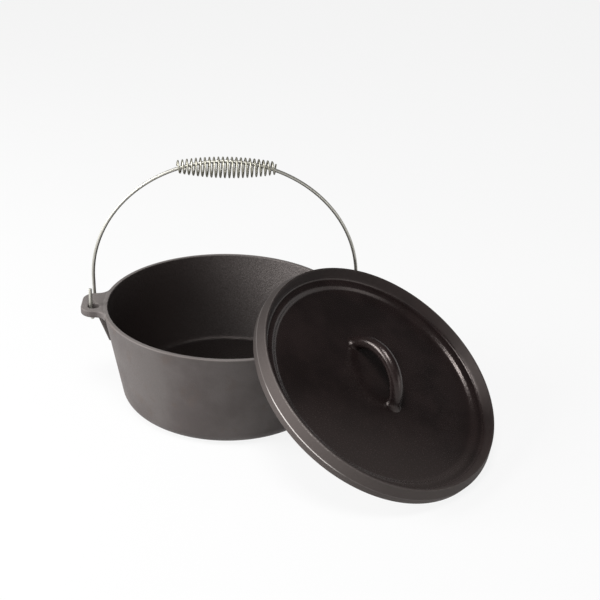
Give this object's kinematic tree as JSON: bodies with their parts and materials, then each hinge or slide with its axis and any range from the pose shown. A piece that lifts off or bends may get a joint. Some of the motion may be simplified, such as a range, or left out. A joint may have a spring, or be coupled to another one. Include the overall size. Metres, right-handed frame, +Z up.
{
  "type": "camp dutch oven",
  "caption": "Cast iron camp pot with ears, a swinging wire bail with a coil spring grip, and a dished lid with a loop handle that leans off against the rim.",
  "frame": {"origin": "middle of the pot's base, on the ground", "axes": "+Z up along the pot's axis; X through the two ears; -Y is the front, the side seen in the picture"},
  "size_m": [0.4315, 0.377, 0.2722],
  "materials": {
    "pot_iron": "seasoned, satin, fine cast grain",
    "lid_iron": "seasoned, satin, fine cast grain",
    "bail_wire": "bright drawn wire",
    "spring_wire": "bright plated spring wire"
  },
  "bodies": {
    "pot_body": {"pot": "pot_iron"},
    "bail_body": {"bail": "bail_wire"},
    "grip_body": {"spring_grip": "spring_wire"},
    "lid_body": {"lid": "lid_iron"}
  },
  "joints": [
    {"name": "bail_swing", "type": "hinge", "parent": "pot_body", "child": "bail_body", "pos_m": [0, 0.0072, 0.10625], "axis": [-1, 0, 0], "range_deg": [-15, 128]},
    {"name": "grip_spin", "type": "hinge", "parent": "bail_body", "child": "grip_body", "pos_m": [-0.003, 0.00337, 0.26082], "axis": [1, 0, 0], "continuous": true},
    {"name": "lid_lift", "type": "slide", "parent": "pot_body", "child": "lid_body", "axis": [0.4246, -0.3538, 0.8334], "range_m": [0, 0.25]}
  ]
}
